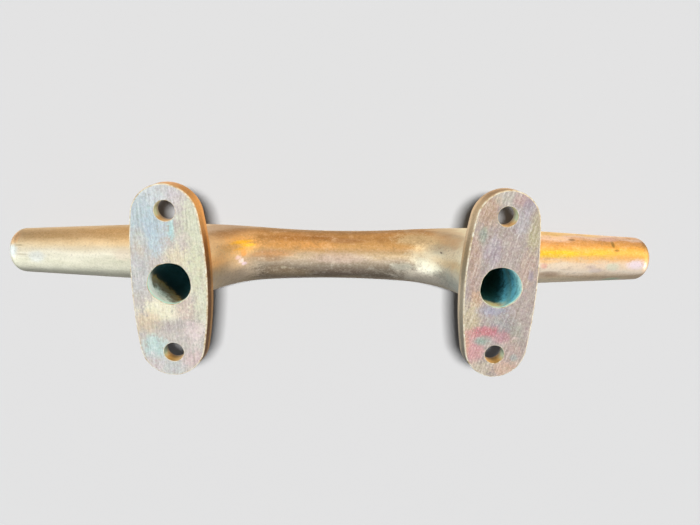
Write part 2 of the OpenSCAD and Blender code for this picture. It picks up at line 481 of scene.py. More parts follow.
def start_finish(name):
    """An empty material, with the surface's place in millimetres and its three parts."""
    material, tree = blank_finish(name)
    where = add(tree, "ShaderNodeTexCoord").outputs["Object"]
    place = add(tree, "ShaderNodeVectorMath", {0: where, "Scale": 1 / MM},
                operation="SCALE").outputs[0]
    parts = add(tree, "ShaderNodeSeparateXYZ", {0: place}).outputs
    return material, tree, place, parts


def grain(tree, place, width, detail=3.0, rough=0.55):
    """Noise whose lumps are width millimetres across, a number or one for each direction."""
    widths = width if isinstance(width, tuple) else (width, width, width)
    scaled = add(tree, "ShaderNodeVectorMath", {0: place, 1: tuple(1 / w for w in widths)},
                 operation="MULTIPLY").outputs[0]
    return add(tree, "ShaderNodeTexNoise", {
        "Vector": scaled, "Scale": 1.0, "Detail": detail, "Roughness": rough}).outputs[0]


def stain(tree, place, under, shade, centre, reach, strength, ragged):
    """Lays a soft ragged patch of another shade over the surface. It fades out round the
    borders of its reach, from inside them to a little outside."""
    away = add(tree, "ShaderNodeVectorMath", {0: place, 1: centre}, operation="SUBTRACT").outputs[0]
    away = add(tree, "ShaderNodeVectorMath", {0: away, 1: reach}, operation="DIVIDE").outputs[0]
    away = add(tree, "ShaderNodeVectorMath", {0: away}, operation="LENGTH").outputs["Value"]
    away = add(tree, "ShaderNodeMath", {0: away, 1: ragged}, operation="ADD").outputs[0]
    cover = add(tree, "ShaderNodeMapRange", {0: away, 1: 0.45, 2: 1.25, 3: strength, 4: 0.0},
                interpolation_type="SMOOTHSTEP").outputs[0]
    return add(tree, "ShaderNodeMix", {0: cover, 6: under, 7: shade}, data_type="RGBA").outputs[2]


def ragged_by(tree, coarse, fine, much=1.0):
    """How far the edges of the stains wander, from two noises that are about 0.5 on average."""
    wander = add(tree, "ShaderNodeMath", {0: coarse, 1: 2.4 * much, 2: -1.9 * much},
                 operation="MULTIPLY_ADD").outputs[0]
    return add(tree, "ShaderNodeMath", {0: fine, 1: 1.4 * much, 2: wander},
               operation="MULTIPLY_ADD").outputs[0]


def shade_by(tree, under, factor, shade, low=0.0, high=1.0, strength=1.0):
    """Blends a shade in where a factor runs from low to high."""
    cover = add(tree, "ShaderNodeMapRange", {
        0: factor, 1: low, 2: high, 3: 0.0, 4: strength}).outputs[0]
    return add(tree, "ShaderNodeMix", {0: cover, 6: under, 7: shade}, data_type="RGBA").outputs[2]


def finish_surface(tree, base, rough, relief, depth, metallic=1.0):
    """Ends a material with a colour, a roughness and a relief whose height is depth
    millimetres. Bare metal is wholly metallic, tarnished metal less, and a crust not at all."""
    bump = add(tree, "ShaderNodeBump", {"Height": relief, "Distance": depth * MM, "Strength": 1.0})
    surface = add(tree, "ShaderNodeBsdfPrincipled", {
        "Base Color": base, "Metallic": metallic, "Roughness": rough, "Normal": bump.outputs[0]})
    add(tree, "ShaderNodeOutputMaterial", {0: surface.outputs[0]})


# How far up and down a patch on the bar reaches, in millimetres
STAIN_RISE = 20
# Patches on the bar and the horns: shade, place, reach along and across, and strength. Most are
# stains, tarnish and pits, and some are painted highlights, glints and reflections
# Painted light: the yellow (FFD430, FFDC50, FFCC48, FFB04C) and pink-white (FFECF4, FFF4F8, F4E8FF)
# glints on the left arch, the cream highlight on the right arch (FFFCE4, F4ECD0, E8E0CC, FFF6DC), the
# glints at the horn tips (E4F0F8, FFD098, F4ECFF), the highlight along the right horn's top (EAD0D8),
# and the dark band on the right horn's lower half (98785E), which is a painted reflection of a darker
# part of the studio
BAR_STAINS_AND_GLINTS = [
    ("E4B068", (-22, -7, 42), (14, 4), 0.4), ("E8B878", (-8, -6, 42), (9, 3), 0.4),
    ("A88458", (-52, -13, 44), (13, 3.5), 0.75), ("946C54", (4, -8.4, 44), (9, 1.2), 0.4),
    ("A07850", (-7, -9.6, 44), (7, 1), 0.4), ("A07848", (-15, -9.5, 44), (18, 1.6), 0.5),
    ("D8A068", (-30, -2.6, 40), (11, 1.8), 0.8), ("A88460", (-31, -0.7, 40), (8, 1.8), 0.7),
    ("B09C7C", (-22, 7.2, 42), (12, 3), 0.6), ("D0B4A8", (1, -1, 40), (14, 3), 0.5),
    ("DADACA", (31, 2.6, 40), (6, 2.4), 0.6), ("FFF6DC", (48, -5.5, 42), (7, 5.5), 0.8),
    ("9A8468", (-27, 4.5, 40), (7, 3), 0.6), ("D8CDB0", (-24.6, 3.6, 40), (1.6, 0.9), 0.6),
    ("7A6A5C", (4, 6, 42), (16, 2.6), 0.6), ("80786A", (23, 6, 42), (14, 2.6), 0.55),
    ("C4C0A8", (40, -9.5, 44), (14, 3), 0.8), ("B49874", (54, -11, 44), (8, 3), 0.6),
    ("E8E0CC", (41, 7.5, 42), (13, 5), 0.8), ("F4ECD0", (43, -3, 40), (10, 6), 0.7),
    ("FFFCE4", (42.5, 1.2, 39), (5, 4.6), 0.85), ("E4D0B4", (-46, 5, 40), (12, 6), 0.75),
    ("FFC868", (-46, -7, 42), (10, 4), 0.5), ("FFD430", (-43.5, -8.4, 42), (5, 0.9), 0.8),
    ("FFDC50", (-40.6, -7, 42), (3.4, 0.8), 0.8), ("FFCC48", (-44, -5.8, 42), (2.4, 0.7), 0.7),
    ("FFB04C", (-42.2, -3.8, 42), (1.2, 1.6), 0.6), ("FFECF4", (-44.4, -2.2, 39), (1.2, 1.1), 0.9),
    ("FFF4F8", (-43.2, -0.6, 39), (1.3, 1.2), 0.95), ("F4E8FF", (-42, 0.9, 39), (1.2, 0.9), 0.8),
    ("5C4838", (47.2, -6.2, 39), (0.45, 0.4), 0.8), ("DCE4EA", (-137.5, 0.5, 41), (4.5, 2.8), 0.45),
    ("E4F0F8", (-149, -2, 43), (3, 3), 0.7), ("FFD098", (-150, -7.4, 46), (3.4, 3), 0.9),
    ("DCC8B4", (-96, -1.6, 39), (7, 3), 0.45), ("A89C80", (-145.6, -4.5, 42), (2.2, 0.4), 0.6),
    ("A89C80", (-144.2, -0.5, 42), (3, 0.4), 0.6), ("D4E4D4", (132, 1.6, 41), (4, 2.2), 0.6),
    ("C0E4C4", (134.5, 9, 45), (5, 1.2), 0.6), ("F4ECFF", (143.5, 0.4, 41), (5, 2.6), 0.85),
    ("B4A4B8", (124, 3.4, 41), (4, 1.4), 0.35), ("B8A8B4", (121, 1.6, 41), (3, 1), 0.35),
    ("FFC47C", (140, -4.4, 42), (12, 2.4), 0.6), ("F0A898", (98, 1.2, 39), (1.8, 1.6), 0.55),
    ("98785E", (101, 5.4, 40), (6, 1.7), 0.6), ("FFE030", (104, -4.4, 41), (12, 1.8), 0.7),
    ("6E6838", (132.6, -8.4, 45), (0.9, 1.6), 0.6), ("7A5E30", (112.7, -10.3, 46), (1.8, 0.5), 0.6),
    ("7A6A34", (133.9, -6.0, 43), (1.4, 0.6), 0.6), ("EAD0D8", (131, -10.2, 47), (6, 0.7), 0.7),
]


def satin_cast_bronze():
    """Bronze ground and rubbed after casting: satin, with fine scratches along its length. Across the
    bar it runs from golden on its -Y side to grey-brown on its +Y side. These colours are partly the
    bronze's own tone and partly painted reflection of warm and dim parts of the studio, and the
    near-white bands on the horns are painted highlights."""
    material, tree, place, (x, y, _) = start_finish("satin_cast_bronze")
    wander = grain(tree, place, (16, 5, 5), 4)
    shift = add(tree, "ShaderNodeMapRange", {0: wander, 3: -3.0, 4: 3.0}).outputs[0]
    across = add(tree, "ShaderNodeMath", {0: y, 1: shift}, operation="ADD").outputs[0]
    across = add(tree, "ShaderNodeMapRange", {0: across, 1: -13.5, 2: 13.5}).outputs[0]
    # Shades from the bar's -Y edge to its +Y edge, for the left horn, the middle and the right horn.
    # Their golden and darker sides are partly painted reflections, and their near-white bands are
    # painted highlights
    pale = add(tree, "ShaderNodeValToRGB", {0: across}, stops=[
        (0.0, colour("D2B98A")), (0.2, colour("D2BE98")), (0.45, colour("FFFAE8")),
        (0.58, colour("D2D0BA")), (0.76, colour("C8C8B4")), (1.0, colour("E4E2CC"))]).outputs[0]
    middle = add(tree, "ShaderNodeValToRGB", {0: across}, stops=[
        (0.02, colour("C8A470")), (0.14, colour("B49464")), (0.26, colour("D0B280")),
        (0.38, colour("E4C8A0")), (0.5, colour("BEAA94")), (0.6, colour("A69884")),
        (0.72, colour("887A68")), (0.9, colour("847462"))]).outputs[0]
    # The flanks that flare into the legs are paler: a painted reflection of the bright panels beyond
    # the cleat's ends
    swayed = add(tree, "ShaderNodeMath", {0: shift, 1: 2.0, 2: x},
                 operation="MULTIPLY_ADD").outputs[0]
    middle = shade_by(tree, middle, swayed, colour("FFE8BC"), -36.0, -55.0, strength=0.95)
    middle = shade_by(tree, middle, swayed, colour("F4FCEC"), 41.0, 58.0, strength=0.95)
    # Behind, the legs stay as dull as they were cast
    middle = shade_by(tree, middle, across, colour("CDB78E"), 0.8, 0.94, strength=0.7)
    golden = add(tree, "ShaderNodeValToRGB", {0: across}, stops=[
        (0.04, colour("FFE8A8")), (0.1, colour("FFF0EA")), (0.15, colour("E4B880")),
        (0.26, colour("F4C46C")), (0.34, colour("FFDC60")), (0.44, colour("FFD090")),
        (0.5, colour("F4E0C8")), (0.64, colour("FAEEDC")), (0.74, colour("DCC4A4")),
        (0.88, colour("FFF0D0"))]).outputs[0]
    left = add(tree, "ShaderNodeMapRange", {0: x, 1: -62.0, 2: -82.0}).outputs[0]
    right = add(tree, "ShaderNodeMapRange", {0: x, 1: 62.0, 2: 82.0}).outputs[0]
    base = add(tree, "ShaderNodeMix", {0: left, 6: middle, 7: pale}, data_type="RGBA").outputs[2]
    base = add(tree, "ShaderNodeMix", {0: right, 6: base, 7: golden}, data_type="RGBA").outputs[2]
    mottle = grain(tree, place, (5, 3.4, 3.4), 8, 0.75)
    speck = grain(tree, place, 0.9, 4, 0.75)
    ragged = ragged_by(tree, mottle, speck, 0.6)
    for shade, centre, reach, strength in BAR_STAINS_AND_GLINTS:
        base = stain(tree, place, base, colour(shade), centre, (*reach, STAIN_RISE), strength, ragged)
    # The left horn and the flanks of the legs are less mottled than the rest
    along = add(tree, "ShaderNodeMapRange", {0: x, 1: -100.0, 2: 100.0}).outputs[0]
    calm = add(tree, "ShaderNodeValToRGB", {0: along}, stops=[
        (0.28, 0.7), (0.36, 0.1), (0.66, 0.1), (0.73, 0.7), (0.82, 0.6), (0.92, 0.1)]).outputs[0]
    plain = base
    base = shade_by(tree, base, mottle, colour("7A6654"), 0.52, 0.74, strength=0.5)
    base = shade_by(tree, base, mottle, colour("FFF6E0"), 0.48, 0.28, strength=0.45)
    base = add(tree, "ShaderNodeMix", {0: calm, 6: base, 7: plain}, data_type="RGBA").outputs[2]
    base = shade_by(tree, base, speck, colour("6A584C"), 0.52, 0.72, strength=0.32)
    base = shade_by(tree, base, speck, colour("FFF8E8"), 0.48, 0.28, strength=0.3)
    scratches = grain(tree, place, (14, 0.7, 0.7), 4, 0.65)
    base = shade_by(tree, base, scratches, colour("FFFAF0"), 0.54, 0.8, strength=0.2)
    rough = add(tree, "ShaderNodeMapRange", {0: mottle, 1: 0.3, 2: 0.7, 3: 0.34, 4: 0.48}).outputs[0]
    swell = grain(tree, place, (18, 9, 9), 2)
    relief = add(tree, "ShaderNodeMath", {0: swell, 1: 5.0, 2: speck},
                 operation="MULTIPLY_ADD").outputs[0]
    relief = add(tree, "ShaderNodeMath", {0: scratches, 1: 0.7, 2: relief},
                 operation="MULTIPLY_ADD").outputs[0]
    finish_surface(tree, base, rough, relief, 0.04)
    return material


# A patch on a flat face needs no height of its own, so it reaches far up and down
ANY_HEIGHT = 1000
# Patches on the filed faces: shade, place from the foot's middle, reach and strength
LEFT_STAINS = [
    ("BCCED8", (-8, -28), (10, 15), 0.85), ("D0D6DC", (-1, -36), (9, 6), 0.7),
    ("D4C8D0", (6, -33), (6, 8), 0.5), ("D4D8C2", (11, -22), (7, 15), 0.8),
    ("B6CAD8", (-5, -20), (6, 9), 0.65), ("CCBEA8", (-10, -16), (3, 7), 0.4),
    ("B0DCE0", (2, -22), (1.4, 4.5), 0.75), ("CCB8BC", (7, -16), (3, 5), 0.4),
    ("E6DAB8", (3.5, -10), (5, 5), 0.6), ("D8D8BC", (11.5, -5), (6, 13), 0.75),
    ("C0C4CA", (-11, -4), (5, 9), 0.6), ("EEEAD0", (-4, 11), (8, 6), 0.85),
    ("D6C2A4", (-9.5, 16), (6, 5), 0.7), ("D4BEB0", (6, 10), (5, 6), 0.55),
    ("B0A6A6", (0.5, 17.5), (9, 3), 0.45), ("D8DAC4", (12, 9), (4, 10), 0.7),
    ("E4D4D4", (9, 20), (5, 5), 0.65), ("B6DADA", (-7, 27), (6, 6), 0.65),
    ("C6D0D4", (-1, 35), (7, 4), 0.55), ("D6C8CC", (-8, 34), (5, 5), 0.5),
    ("D8BEC0", (9, 32), (7, 5), 0.55),
]
RIGHT_STAINS = [
    ("C2C0BA", (-2, -36), (8, 4), 0.7), ("C09E80", (-8, -31), (5, 8), 0.6),
    ("8EA698", (-9, -21), (2, 3.6), 0.6), ("AAA0B0", (-4.5, -15), (4, 7), 0.6),
    ("C09498", (5, -35), (4, 3), 0.5), ("A49CB4", (8, -33), (3, 4), 0.55),
    ("BEB890", (11, -22), (3, 9), 0.65), ("BAB8C2", (5, -27), (5, 6), 0.7),
    ("BC9A84", (-12, -13), (3, 10), 0.55), ("B8988E", (-10.5, -1), (3, 8), 0.5),
    ("D4A880", (-9.6, 5), (3, 5), 0.5), ("C6A898", (10, -7), (4, 8), 0.5),
    ("9490B0", (11.5, -5), (1.3, 2.6), 0.5), ("D2C4A2", (-11, 14), (4, 9), 0.7),
    ("A8ACC4", (-2, 9.5), (7, 2.5), 0.7), ("A2A4AA", (2, 17), (6, 7), 0.65),
    ("AEB0A4", (8, 20), (4, 5), 0.55), ("D08A92", (-9.6, 20), (4, 3.4), 0.65),
    ("D07484", (-4, 18.6), (6, 2.6), 0.75), ("CC8C98", (2.6, 21), (4, 3), 0.6),
    ("DC9CA2", (-9, 27), (5, 6), 0.7), ("A0B8B0", (-6.2, 22.8), (3.2, 2.0), 0.85),
    ("DCAC8C", (-12.6, 26), (2.2, 6), 0.6), ("E0BCA4", (5, 35), (6, 4), 0.65),
    ("CEC2AC", (-5.4, 35), (6, 4), 0.6), ("C8ACA4", (7, 27), (5, 6), 0.5),
    ("94A8AA", (8, 30), (1.8, 1.6), 0.6),
]


def filed_bronze(name, side, ground, stains, line_tilt, bite):
    """Bronze filed flat and left to weather: pale and streaky, with soft blooms of lilac,
    green and pink, dark pin-holes, and file lines along the foot. bite is how strongly
    the lines and specks show."""
    material, tree, place, _ = start_finish(name)
    from_foot = add(tree, "ShaderNodeVectorMath", {0: place, 1: (side * LEG_X, 0, 0)},
                    operation="SUBTRACT").outputs[0]
    blot = grain(tree, place, (3, 5, 3), 8, 0.75)
    speck = grain(tree, place, (0.7, 1.1, 1), 4, 0.75)
    ragged = ragged_by(tree, blot, speck)
    base = add(tree, "ShaderNodeMix", {0: blot, 6: colour(ground[0]), 7: colour(ground[1])},
               data_type="RGBA").outputs[2]
    for shade, centre, reach, strength in stains:
        base = stain(tree, from_foot, base, colour(shade), (*centre, 0), (*reach, ANY_HEIGHT),
                     strength, ragged)
    # Thin tarnish films that tint the metal a little in every hue
    spread = add(tree, "ShaderNodeVectorMath", {0: place, "Scale": 1 / 1.7},
                 operation="SCALE").outputs[0]
    film = add(tree, "ShaderNodeTexNoise", {
        "Vector": spread, "Scale": 1.0, "Detail": 4.0, "Roughness": 0.7}).outputs[1]
    base = add(tree, "ShaderNodeMix", {0: 0.25, 6: base, 7: film}, data_type="RGBA",
               blend_type="SOFT_LIGHT").outputs[2]
    turned = add(tree, "ShaderNodeVectorRotate", {
        "Vector": from_foot, "Angle": math.radians(line_tilt)}, rotation_type="Z_AXIS").outputs[0]
    # Real file lines are about 0.3 mm apart; they are drawn coarser so that they show
    lines = grain(tree, turned, (0.8, 10, 1), 5, 0.7)
    base = shade_by(tree, base, lines, colour("80746C"), 0.5, 0.8, strength=bite)
    base = shade_by(tree, base, lines, colour("FCFAF4"), 0.48, 0.2, strength=bite)
    base = shade_by(tree, base, blot, colour("8A7C74"), 0.54, 0.76, strength=0.6 * bite)
    base = shade_by(tree, base, blot, colour("FFFEF8"), 0.46, 0.26, strength=0.6 * bite)
    base = shade_by(tree, base, speck, colour("6C625C"), 0.52, 0.72, strength=0.8 * bite)
    base = shade_by(tree, base, speck, colour("FFFEFA"), 0.48, 0.28, strength=0.8 * bite)
    pits = add(tree, "ShaderNodeTexVoronoi", {"Vector": place, "Scale": 1 / 2.6}).outputs["Distance"]
    pits = add(tree, "ShaderNodeMapRange", {0: pits, 1: 0.1, 2: 0.04}).outputs[0]
    some = add(tree, "ShaderNodeMapRange", {0: blot, 1: 0.5, 2: 0.6}).outputs[0]
    pits = add(tree, "ShaderNodeMath", {0: pits, 1: some}, operation="MULTIPLY").outputs[0]
    base = shade_by(tree, base, pits, colour("4A3A34"), strength=0.7)
    rough = add(tree, "ShaderNodeMapRange", {0: blot, 1: 0.3, 2: 0.7, 3: 0.42, 4: 0.56}).outputs[0]
    relief = add(tree, "ShaderNodeMath", {0: lines, 1: 0.8, 2: speck},
                 operation="MULTIPLY_ADD").outputs[0]
    relief = add(tree, "ShaderNodeMath", {0: pits, 1: -1.5, 2: relief},
                 operation="MULTIPLY_ADD").outputs[0]
    finish_surface(tree, base, rough, relief, 0.03)
    return material


def worn_edge_and_highlight_bronze():
    """Bronze rubbed bright along an edge: a thin cream line, partly wear and partly a painted
    highlight.
    """
    material, tree, place, _ = start_finish("worn_edge_and_highlight_bronze")
    rub = grain(tree, place, 2.2, 4, 0.65)
    base = add(tree, "ShaderNodeValToRGB", {0: rub}, stops=[
        (0.32, colour("E8ECE4")), (0.5, colour("D8D0BC")), (0.65, colour("B49C74"))]).outputs[0]
    finish_surface(tree, base, 0.7, rub, 0.03, metallic=0.5)
    return material


def foot_skin_bronze():
    """The foot's sides as cast: darker brown low down and golden along the rounded upper edge, partly
    their own tone and partly a painted dark reflection and a painted highlight. The right foot is
    greyer, partly as a painted cooler reflection."""
    material, tree, place, (x, y, z) = start_finish("cast_skin_bronze")
    patch = grain(tree, place, (7, 7, 3), 4, 0.65)
    sway = add(tree, "ShaderNodeMath", {0: patch, 1: 2.4, 2: z},
               operation="MULTIPLY_ADD").outputs[0]
    height = add(tree, "ShaderNodeMapRange", {0: sway, 1: 1.2, 2: 9.7}).outputs[0]
    # Darker low on the side and golden on the rounded top: partly own tone, partly painted dark
    # reflection and painted highlight
    brown = add(tree, "ShaderNodeValToRGB", {0: height}, stops=[
        (0.05, colour("A87C48")), (0.2, colour("8A6034")), (0.45, colour("8E6638")),
        (0.6, colour("DCAC6C")), (1.0, colour("E0B478"))]).outputs[0]
    grey = add(tree, "ShaderNodeValToRGB", {0: height}, stops=[
        (0.05, colour("C8C4B4")), (0.2, colour("A09C8C")), (0.45, colour("A8A290")),
        (0.6, colour("DCD0B8")), (1.0, colour("C8BCA4"))]).outputs[0]
    # The right foot's greyer ramp is partly a painted cooler reflection
    which = add(tree, "ShaderNodeMapRange", {0: x, 1: -10.0, 2: 10.0}).outputs[0]
    base = add(tree, "ShaderNodeMix", {0: which, 6: brown, 7: grey}, data_type="RGBA").outputs[2]
    # A golden upper end, less so on the right foot: a painted reflection of the warm side of the
    # studio
    top = add(tree, "ShaderNodeMapRange", {0: y, 1: -14.0, 2: -32.0, 3: 0.0, 4: 0.85}).outputs[0]
    less = add(tree, "ShaderNodeMapRange", {0: which, 3: 1.0, 4: 0.3}).outputs[0]
    top = add(tree, "ShaderNodeMath", {0: top, 1: less}, operation="MULTIPLY").outputs[0]
    base = add(tree, "ShaderNodeMix", {0: top, 6: base, 7: colour("F0B868")},
               data_type="RGBA").outputs[2]
    speck = grain(tree, place, 0.8, 4, 0.7)
    base = shade_by(tree, base, speck, colour("5E4C40"), 0.54, 0.76, strength=0.5)
    base = shade_by(tree, base, speck, colour("F4E4C4"), 0.46, 0.26, strength=0.35)
    streaks = grain(tree, place, (9, 9, 0.7), 3)
    relief = add(tree, "ShaderNodeMath", {0: streaks, 1: 0.7, 2: speck},
                 operation="MULTIPLY_ADD").outputs[0]
    finish_surface(tree, base, 0.42, relief, 0.04)
    return material


def core_crust_and_shade(name, side, lean, shades, patches):
    """The rough wall that the sand core left, green with verdigris at the mouth. Its brightness near
    the mouth is painted light and the black further in is painted shade. The black lies across the
    hole at a slant like a shadow's edge, which lean gives."""
    material, tree, place, (_, _, z) = start_finish(name)
    from_core = add(tree, "ShaderNodeVectorMath", {0: place, 1: (side * LEG_X, 0, 0)},
                    operation="SUBTRACT").outputs[0]
    lumps = grain(tree, place, 2.2, 6, 0.8)
    shift = add(tree, "ShaderNodeMapRange", {0: lumps, 1: 0.25, 2: 0.75, 3: -1.8, 4: 1.8}).outputs[0]
    into = add(tree, "ShaderNodeVectorMath", {0: from_core, 1: lean},
               operation="DOT_PRODUCT").outputs["Value"]
    into = add(tree, "ShaderNodeMath", {0: into, 1: shift}, operation="ADD").outputs[0]
    into = add(tree, "ShaderNodeMapRange", {0: into, 1: -9.0, 2: 11.0}).outputs[0]
    base = add(tree, "ShaderNodeValToRGB", {0: into}, stops=[
        (depth, colour(shade)) for depth, shade in shades]).outputs[0]
    base = shade_by(tree, base, lumps, colour("10201E"), 0.5, 0.66, strength=0.6)
    ragged = add(tree, "ShaderNodeMapRange", {0: lumps, 3: -0.6, 4: 0.6}).outputs[0]
    for shade, centre, reach, strength in patches:
        base = stain(tree, from_core, base, colour(shade), centre, reach, strength, ragged)
    # Paler at the very mouth: verdigris, brightened as painted light
    base = shade_by(tree, base, z, colour("D4FFF8"), 1.6, 0.8)
    finish_surface(tree, base, 0.55, lumps, 0.4, metallic=0.0)
    return material


def drilled_wall():
    """The drilled holes' walls: mint verdigris, gold on each hole's +Y side, and darker further in.
    """
    material, tree, place, (_, y, z) = start_finish("drilled_wall_bronze")
    which = add(tree, "ShaderNodeMath", {0: y}, operation="SIGN").outputs[0]
    from_hole = add(tree, "ShaderNodeMath", {0: which, 1: -HOLE_Y, 2: y},
                    operation="MULTIPLY_ADD").outputs[0]
    lumps = grain(tree, place, 1.0, 3, 0.6)
    sway = add(tree, "ShaderNodeMapRange", {0: lumps, 3: -1.2, 4: 1.2}).outputs[0]
    from_hole = add(tree, "ShaderNodeMath", {0: from_hole, 1: sway}, operation="ADD").outputs[0]
    gold = add(tree, "ShaderNodeMapRange", {0: from_hole, 1: 1.2, 2: 3.0}).outputs[0]
    base = add(tree, "ShaderNodeMix", {0: gold, 6: colour("B8CDB4"), 7: colour("E2B870")},
               data_type="RGBA").outputs[2]
    base = shade_by(tree, base, z, colour("5A4636"), 2.2, 5.2, strength=0.8)
    finish_surface(tree, base, 0.4, lumps, 0.08, metallic=0.7)
    return material


# The core holes' walls: their shades from the mouth inwards, from painted light at the mouth to
# painted shade inside over the verdigris's green, and the patches on them
LEFT_CRUST_AND_SHADE = [
    (0.05, "FFFFFF"), (0.17, "E8F8F4"), (0.23, "A8B0A4"), (0.27, "8C7C64"), (0.31, "9C9474"),
    (0.36, "AC9058"), (0.39, "5C5038"), (0.43, "1C3438"), (0.55, "30585C"), (0.75, "609AA0"),
]
LEFT_CRUST_STAINS = [
    ("485450", (-7, -5, 5), (3, 5, 6), 0.75), ("F4FFFF", (-7.6, 2.6, 2), (4, 6, 3.8), 1.0),
    ("E0FFF8", (-2, 8, 0.5), (7, 4, 2.4), 0.8),
]
RIGHT_CRUST_AND_SHADE = [
    (0.15, "D8FFFF"), (0.3, "9CE8F4"), (0.43, "78D0EC"), (0.52, "84C4CC"), (0.65, "84E4FF"),
    (0.74, "60A8B8"), (0.84, "30686C"), (1.0, "345C50"),
]
RIGHT_CRUST_STAINS = [("ECD8A0", (-2.5, 8.3, 3), (6, 3, 4.4), 0.9)]


bar_finish = satin_cast_bronze()
left_face = filed_bronze("filed_bronze_left", -1, ("CFC9C2", "C0BAB8"), LEFT_STAINS, 2, 0.5)
right_face = filed_bronze("filed_bronze_right", 1, ("BEB0AA", "AEA4A4"), RIGHT_STAINS, -14, 0.6)
edge_wear_and_highlight = worn_edge_and_highlight_bronze()
skin_finish = foot_skin_bronze()
bore_finish = drilled_wall()
left_core = core_crust_and_shade("core_crust_and_shade_left", -1, (0.707, -0.707, 0.44), LEFT_CRUST_AND_SHADE, LEFT_CRUST_STAINS)
right_core = core_crust_and_shade("core_crust_and_shade_right", 1, (-0.7, 0.5, 0.45), RIGHT_CRUST_AND_SHADE, RIGHT_CRUST_STAINS)

# Knocks on the horns: place (x, y), reach along and across, and depth
LEFT_KNOCKS = [((-145.6, -4.5), (1.8, 0.35), 0.08), ((-144.2, -0.5), (2.4, 0.35), 0.08)]
RIGHT_KNOCKS = [
    ((112.7, -10.3), (1.8, 0.4), 0.12), ((132.6, -8.4), (0.7, 1.3), 0.14),
    ((133.9, -6.0), (1.3, 0.6), 0.18), ((127.0, -9.8), (0.9, 0.4), 0.1),
]

cast("center_bar_casting", "center_bar", waisted_bar(), [bar_finish])
for side, word, knocks, face, core in (
    (-1, "left", LEFT_KNOCKS, left_face, left_core),
    (1, "right", RIGHT_KNOCKS, right_face, right_core),
):
    cast(word + "_horn_casting", word + "_horn", tapered_horn(side, knocks),
         [bar_finish])
    cast(word + "_leg_casting", word + "_leg", hollow_leg(side), [bar_finish, core])
    cast(word + "_foot_casting", word + "_foot", oval_foot(side),
         [face, edge_wear_and_highlight, skin_finish, bore_finish, core])


# Studio: a pale floor seen from above, a pale backdrop behind the bar seen from below

# In metres; the floor lies just under the feet and the backdrop just over the bar
FLOOR_Z = -0.0003
BACKDROP_Z = 0.0660
SHEET_HALF = 30.0
WALL_REACH = 9.0
WALL_HALF_HEIGHT = 8.0
WALL_FACETS = 96
WALL_SHADE = "EAECEF"
# The backdrop's own lamp, in millimetres. It hangs beside the camera, where the feet's shadows
# fall just behind the feet and on what shows through their holes
BACKDROP_LAMP = (0, -89, -300)
# Share of the light on the backdrop that isn't its own lamp's, in front of that lamp
ROOM_LIGHT = 0.038


def screen(name, points, faces, material):
    """A part of the studio that is seen, but neither lights nor shades anything."""
    mesh = bpy.data.meshes.new(name)
    mesh.from_pydata(points, [], faces)
    mesh.materials.append(material)
    sheet = bpy.data.objects.new(name, mesh)
    bpy.context.collection.objects.link(sheet)
    sheet.visible_diffuse = sheet.visible_glossy = False
    sheet.visible_transmission = sheet.visible_shadow = False
    return sheet


def one_way_sheet(name, z, facing, shade, lamp=None):
    """A plain pale sheet that shows on one side only, so that it never hides the cleat. With
    a lamp's place, it is darker in front of that lamp, by as much as the lamp lights it more
    there, and so looks even."""
    material, tree = blank_finish(name + "_paper")
    tint = colour(shade)
    if lamp:
        where = add(tree, "ShaderNodeTexCoord").outputs["Object"]
        middle = (lamp[0] * MM, lamp[1] * MM, z)
        away = add(tree, "ShaderNodeVectorMath", {0: where, 1: middle},
                   operation="DISTANCE").outputs["Value"]
        away = add(tree, "ShaderNodeMath", {0: away, 1: z - lamp[2] * MM},
                   operation="DIVIDE").outputs[0]
        loss = add(tree, "ShaderNodeMath", {0: away, 1: away, 2: 1.0},
                   operation="MULTIPLY_ADD").outputs[0]
        loss = add(tree, "ShaderNodeMath", {0: loss, 1: loss}, operation="MULTIPLY").outputs[0]
        # The studio's own dim light falls on it too, and isn't lost with distance
        other = add(tree, "ShaderNodeMath", {0: loss, 1: ROOM_LIGHT, 2: 1 - ROOM_LIGHT},
                    operation="MULTIPLY_ADD").outputs[0]
        loss = add(tree, "ShaderNodeMath", {0: loss, 1: other}, operation="DIVIDE").outputs[0]
        tint = shade_by(tree, tint, loss, colour("FFFFFF"), 1.0, 9.0)
    paper = add(tree, "ShaderNodeBsdfDiffuse", {0: tint})
    if lamp:
        # Further out than the lamp reaches, the sheet is as bright as the wall behind it
        glow = add(tree, "ShaderNodeEmission", {0: colour(WALL_SHADE)})
        far = add(tree, "ShaderNodeMapRange", {0: away, 1: 1.2, 2: 1.6}).outputs[0]
        paper = add(tree, "ShaderNodeMixShader", {0: far, 1: paper.outputs[0], 2: glow.outputs[0]})
    clear = add(tree, "ShaderNodeBsdfTransparent")
    behind = add(tree, "ShaderNodeNewGeometry").outputs["Backfacing"]
    both = add(tree, "ShaderNodeMixShader", {0: behind, 1: paper.outputs[0], 2: clear.outputs[0]})
    add(tree, "ShaderNodeOutputMaterial", {0: both.outputs[0]})
    corners = [(x * SHEET_HALF, y * SHEET_HALF, z) for x, y in ((-1, -1), (1, -1), (1, 1), (-1, 1))]
    sheet = screen(name, corners, [(0, 1, 2, 3) if facing > 0 else (3, 2, 1, 0)], material)
    return sheet


def far_wall():
    """A pale wall far off, as bright as the floor, behind the cleat as seen from its sides."""
    material, tree = blank_finish("wall_paper")
    paper = add(tree, "ShaderNodeEmission", {0: colour(WALL_SHADE)})
    add(tree, "ShaderNodeOutputMaterial", {0: paper.outputs[0]})
    n = WALL_FACETS
    turns = [2 * math.pi * i / n for i in range(n)]
    points = [(WALL_REACH * math.cos(t), WALL_REACH * math.sin(t), z)
              for z in (-WALL_HALF_HEIGHT, WALL_HALF_HEIGHT) for t in turns]
    faces = [(i, i + n, (i + 1) % n + n, (i + 1) % n) for i in range(n)]
    wall = screen("wall", points, faces, material)


